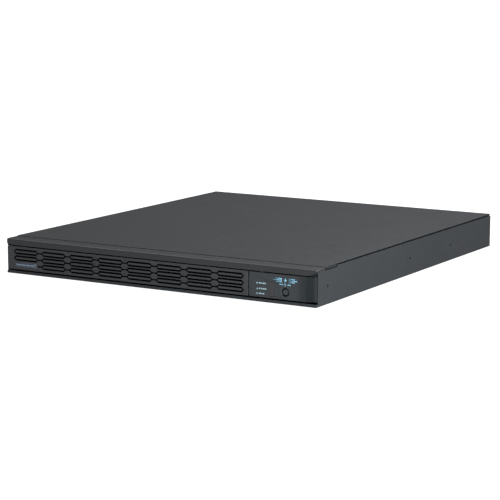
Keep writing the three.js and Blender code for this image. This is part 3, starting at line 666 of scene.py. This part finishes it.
def power_button():
    centre = (button_low + button_high) / 2 / MM
    front = button_low.y / MM
    profile = [(0, 0.3), (1.5, 0.26), (2.4, 0.14), (2.85, 0.02), (3.0, 0.0), (3.25, 0.12), (3.4, 0.4),
               (3.4, 3.6), (6.2, 3.6), (6.2, 5.0), (2.0, 5.0), (2.0, 9.6), (0, 9.6)]
    bm = lathe(profile, (centre.x, front, centre.z))
    finish_piece(soften(new_object("power_button_cap", bm), 0, angle=40), "panel_plastic", "power_button",
                 replaces=["power_button"])


# ---- printed marks: generic pictograms, dashes and bars, no words ------------------
INK = 0.05   # thickness of a printed mark, proud of its surface
BADGE_X, BADGE_Z = 174.9, 27.2
STATUS_X = 137.4
LABEL_X, LABEL_Z = -187.3, 11.2


def printed(name, shapes, front, material, body):
    """One flat piece of ink from a list of shapes, each a list of loops (outline, then holes)."""
    bm = bmesh.new()
    for loops in shapes:
        merge(bm, plate(loops, front - INK, front + 0.01))
    return finish_piece(new_object(name, bm), material, body)


def dashes(x, z, height, widths, gap=0.45):
    shapes = []
    for width in widths:
        shapes.append([box_outline(x, z - height / 2, width, height)])
        x += width + gap
    return shapes


def power_symbol(x, z, radius, stroke):
    ring = arc(x, z, radius, 120, 420, 24) + arc(x, z, radius - stroke, 420, 120, 24)
    return [[ring], [box_outline(x - stroke / 2, z + 0.1, stroke, radius + 0.25)]]


def bolt(x, z, height):
    unit = height / 6
    points = [(1.1, 3), (-2.0, -0.6), (-0.3, -0.6), (-1.1, -3), (2.0, 0.6), (0.3, 0.6)]
    return [[(x + u * unit, z + v * unit) for u, v in points]]


def panel_marks():
    x = STATUS_X
    arrow = [[(x, 20.5), (x + 1.2, 20.5), (x + 1.2, 20.0), (x + 2.4, 21.3), (x + 1.2, 22.6), (x + 1.2, 22.1),
              (x, 22.1)]]
    triangle = [[(x, 13.8), (x + 2.6, 13.8), (x + 1.3, 16.2)],
                [(x + 0.8, 14.3), (x + 1.3, 15.2), (x + 1.8, 14.3)]]
    cell = [box_outline(x, 8.5, 2.2, 1.9), box_outline(x + 0.4, 8.9, 1.4, 1.1)]
    status = [arrow, triangle, cell, [box_outline(x + 2.2, 9.0, 0.4, 0.9)]]
    status += dashes(x + 3.3, 21.3, 1.5, (2.1, 1.3, 2.6, 1.6))
    status += dashes(x + 3.3, 15.0, 1.5, (1.5, 2.6, 1.9, 2.4))
    status += dashes(x + 3.3, 9.4, 1.5, (2.7, 1.4, 2.2))
    printed("status_marks", status, FACE, "ink", "chassis")
    badge = [bolt(BADGE_X, BADGE_Z, 6.4)]
    for side in (-1, 1):
        for row, length in ((1.8, 8.0), (0.0, 11.0), (-1.8, 8.0)):
            start = BADGE_X + side * 4.2
            badge.append([box_outline(min(start, start + side * length), BADGE_Z + row - 0.45, length, 0.9)])
    printed("badge_marks", badge, FACE, "badge_ink", "chassis")
    switch = power_symbol(BADGE_X - 0.3, 22.2, 1.4, 0.5)
    switch += dashes(BADGE_X - 7.6, 22.3, 1.3, (1.6, 2.1)) + dashes(BADGE_X + 2.7, 22.3, 1.3, (2.1, 1.5))
    printed("switch_marks", switch, FACE, "badge_ink", "chassis")


def product_label():
    film = rounded_rectangle(LABEL_X, LABEL_Z, 32.0, 5.6, 0.5, 3)
    printed("label_film", [[film]], FACE, "label_film", "grille")
    marks = dashes(-201.9, 11.3, 1.5, (2.6, 1.0, 2.0, 1.4, 0.8, 3.2, 1.2, 2.2, 1.6, 0.9, 2.4, 1.8))
    printed("label_marks", marks, FACE - INK + 0.01, "label_ink", "grille")


# ---- rear fans, batteries and board parts: rebuilt with their real curves -----------
BLADES, HUB_RADIUS, BLADE_TIP = 7, 8.0, 17.7
MODULES, CELLS = 8, 5
CHOKE_TURNS = 26


def node_box(name):
    low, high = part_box(name)
    return low / MM, high / MM


def blade(bm, centre, hub, tip, angle, depth):
    """One fan blade: a twisted, curved sheet from the hub to the tip."""
    rows, columns, thick = 8, 6, 0.45
    grids = []
    for side in (-1, 1):
        grid = []
        for i in range(rows + 1):
            t = i / rows
            radius = hub - 0.6 + (tip - hub + 0.6) * t
            pitch = math.radians(52 - 22 * t)
            width = depth * (0.98 - 0.10 * (1 - t))
            line = []
            for j in range(columns + 1):
                u = j / columns - 0.5
                camber = 1.5 * (1 - 4 * u * u)
                along = width * u * math.cos(pitch) - camber * math.sin(pitch)
                around = width * u * math.sin(pitch) + camber * math.cos(pitch) + side * thick
                swing = angle + around / max(radius, hub) + 0.35 * t
                line.append(bm.verts.new(Vector((centre.x + radius * math.sin(swing), centre.y + along,
                                                 centre.z + radius * math.cos(swing))) * MM))
            grid.append(line)
        grids.append(grid)
    front, back = grids
    for i in range(rows):
        for j in range(columns):
            bm.faces.new([front[i][j], front[i][j + 1], front[i + 1][j + 1], front[i + 1][j]])
            bm.faces.new([back[i][j], back[i + 1][j], back[i + 1][j + 1], back[i][j + 1]])
    rim = ([(i, 0) for i in range(rows)] + [(rows, j) for j in range(columns)]
           + [(i, columns) for i in range(rows, 0, -1)] + [(0, j) for j in range(columns, 0, -1)])
    for (a, b), (c, d) in zip(rim, rim[1:] + rim[:1]):
        bm.faces.new([front[a][b], front[c][d], back[c][d], back[a][b]])


def fan_rotors():
    for side in ("left", "right"):
        low, high = node_box("fan_rotor_" + side)
        centre = (low + high) / 2
        depth = high.y - low.y
        hub = [(0, -depth / 2), (6.4, -depth / 2), (7.6, -depth / 2 + 0.5),
               (HUB_RADIUS, -depth / 2 + 1.6), (HUB_RADIUS, depth / 2 - 1.4), (7.5, depth / 2 - 0.4),
               (6.4, depth / 2), (3.2, depth / 2),
               (3.0, depth / 2 - 0.3), (0, depth / 2 - 0.3)]
        bm = lathe(hub, centre)
        for i in range(BLADES):
            blade(bm, centre, HUB_RADIUS, BLADE_TIP, 2 * math.pi * i / BLADES, depth - 1.6)
        finish_piece(soften(new_object("fan_wheel_" + side, bm), 0, angle=40), "black_plastic",
                     "fan_rotor_" + side, replaces=["fan_rotor_" + side])


def battery_modules():
    """Five cells side by side under a shrunk wrap, with the wrap's lips round each end."""
    for index in range(1, MODULES + 1):
        name = "battery_module_%d" % index
        low, high = node_box(name)
        radius = (high.z - low.z) / 2
        z = (low.z + high.z) / 2
        centres = [low.x + radius + (high.x - low.x - 2 * radius) * i / (CELLS - 1) for i in range(CELLS)]

        def profile(size):
            top = [p for i, x in enumerate(reversed(centres)) for p in
                   arc(x, 0, size, 0 if i == 0 else 32, 180 if i == CELLS - 1 else 148, 18)]
            return [(x, z + v) for x, v in top] + [(low.x + high.x - x, z - v) for x, v in top[1:-1]]

        bm = plate([profile(radius - 0.35)], low.y, high.y)
        merge(bm, plate([profile(radius)], low.y + 0.9, high.y - 0.9))
        finish_piece(soften(new_object(name + "_wrap", bm), 0.3, 2, 50), "cell_wrap", "battery_drawer",
                     replaces=[name])
        ends = bmesh.new()
        for x in centres:
            for y, way in ((low.y, -1), (high.y, 1)):
                tip = [(0, 0.55), (2.6, 0.55), (3.0, 0.35), (3.1, 0.02), (8.6, 0.02), (9.4, 0.12), (9.9, 0.1),
                       (10.2, -0.2), (0, -0.2)]
                merge(ends, lathe([(r, way * h) for r, h in tip], (x, y, z), steps=28))
        finish_piece(soften(new_object(name + "_ends", ends), 0, angle=40), "zinc_steel", "battery_drawer")


def capacitors():
    """Aluminium cans in a sleeve, with a scored, slightly domed top and a crimp near the foot."""
    for index in (1, 2, 3):
        name = "capacitor_%d" % index
        low, high = node_box(name)
        centre = (low + high) / 2
        r, h = (high.x - low.x) / 2, high.z - low.z
        sleeve = [(0, 0), (r - 0.6, 0), (r - 0.1, 0.5), (r, 1.4), (r - 0.9, 2.4), (r - 0.9, 3.0), (r, 4.0),
                  (r, h - 1.2), (r - 0.5, h - 0.35), (r - 1.4, h - 0.1), (r - 2.2, h - 0.25),
                  (r - 2.4, h - 0.7), (0, h - 0.7)]
        bm = lathe(sleeve, (centre.x, centre.y, low.z), "z")
        finish_piece(soften(new_object(name + "_can", bm), 0, angle=40), "black_plastic", "chassis",
                     replaces=[name])
        lid = lathe([(0, h - 0.9), (r - 2.5, h - 0.9), (r - 2.5, h - 0.55), (0, h - 0.45)],
                    (centre.x, centre.y, low.z), "z")
        for angle in (0, math.pi / 2):
            bar = plate([box_outline(-(r - 4), -0.25, 2 * (r - 4), 0.5)], h - 0.5, h - 0.35, "z")
            bar.transform(Matrix.Rotation(angle, 4, "Z"))
            merge(lid, bar, (centre.x, centre.y, low.z))
        finish_piece(soften(new_object(name + "_lid", lid), 0, angle=40), "aluminium", "chassis")


def choke():
    """A ring core wound with round wire."""
    low, high = node_box("choke")
    centre = (low + high) / 2
    tube = (high.z - low.z) / 2
    ring = (high.x - low.x) / 2 - tube
    core = lathe([(ring + (tube - 1.3) * math.cos(a), (tube - 1.3) * math.sin(a))
                  for a in (2 * math.pi * i / 20 for i in range(20))], centre, "z")
    finish_piece(soften(new_object("choke_core", core), 0, angle=60), "ferrite", "chassis")
    wire = bmesh.new()
    for turn in range(CHOKE_TURNS):
        around = 2 * math.pi * (turn + 0.5) / (CHOKE_TURNS + 3)   # leaves a gap between the ends
        loop = lathe([(tube - 0.65 + 0.6 * math.cos(a), 0.6 * math.sin(a))
                      for a in (2 * math.pi * i / 8 for i in range(8))], (0, 0, 0), "y", 18)
        loop.transform(Matrix.Translation(centre * MM) @ Matrix.Rotation(around, 4, "Z")
                       @ Matrix.Translation((ring * MM, 0, 0)))
        merge(wire, loop)
    finish_piece(soften(new_object("choke_winding", wire), 0, angle=60), "copper_wire", "chassis",
                 replaces=["choke"])


grille()
grille_bars()
filter_sheet()
corner_gap_shade()
control_face()
power_button()
panel_marks()
product_label()
fan_rotors()
battery_modules()
capacitors()
choke()


# ---- floor, lamps and camera -------------------------------------------------------
def floor():
    bm = bmesh.new()
    bmesh.ops.create_grid(bm, x_segments=1, y_segments=1, size=60)
    obj = new_object("floor", bm)
    obj.location.z = -0.0003
    material = bpy.data.materials.new("floor")
    material.use_nodes = True
    shader = material.node_tree.nodes["Principled BSDF"]
    shader.inputs["Base Color"].default_value = (0.1, 0.1, 0.1, 1)
    shader.inputs["Roughness"].default_value = 0.9
    shader.inputs["Specular IOR Level"].default_value = 0.0
    shader.inputs["Emission Color"].default_value = (1, 1, 1, 1)
    shader.inputs["Emission Strength"].default_value = 1.0
    obj.data.materials.append(material)


def world():
    scene_world = bpy.data.worlds.new("studio")
    scene_world.use_nodes = True
    background = scene_world.node_tree.nodes["Background"]
    background.inputs["Color"].default_value = (1, 1, 1, 1)
    background.inputs["Strength"].default_value = 0.06
    bpy.context.scene.world = scene_world


def area_light(name, location, target, size, power):
    data = bpy.data.lights.new(name, "AREA")
    data.shape = "RECTANGLE"
    data.size, data.size_y = size
    data.energy = power
    obj = bpy.data.objects.new(name, data)
    obj.location = location
    obj.rotation_euler = (Vector(target) - Vector(location)).to_track_quat("-Z", "Y").to_euler()
    bpy.context.scene.collection.objects.link(obj)


AZIMUTH, ELEVATION, ROLL = (math.radians(angle) for angle in (30.357, 9.606, 0.117))
DISTANCE, LENS = 2.25285, 129.828
TARGET = Vector((0.0193, -0.05651, 0.02101))


def camera():
    back = Vector((math.sin(AZIMUTH) * math.cos(ELEVATION), -math.cos(AZIMUTH) * math.cos(ELEVATION),
                   math.sin(ELEVATION)))
    data = bpy.data.cameras.new("camera")
    data.sensor_width = 36
    data.lens = LENS
    data.clip_end = 200
    obj = bpy.data.objects.new("camera", data)
    obj.location = TARGET + back * DISTANCE
    obj.rotation_mode = "QUATERNION"
    obj.rotation_quaternion = back.to_track_quat("Z", "Y") @ Quaternion((0, 0, 1), ROLL)
    bpy.context.scene.collection.objects.link(obj)
    bpy.context.scene.camera = obj


floor()
world()
area_light("roll", (-1.2, -0.5, 2.0), (0, -0.1, 0), (1.0, 1.0), 36)
area_light("key", (0.2, 0.5, 1.15), (0.05, 0.12, 0), (0.8, 0.8), 43)
area_light("side", (0.95, -0.7, 0.35), (0.215, -0.2, 0), (0.5, 0.5), 21)
camera()
bpy.context.scene.view_settings.view_transform = "Standard"
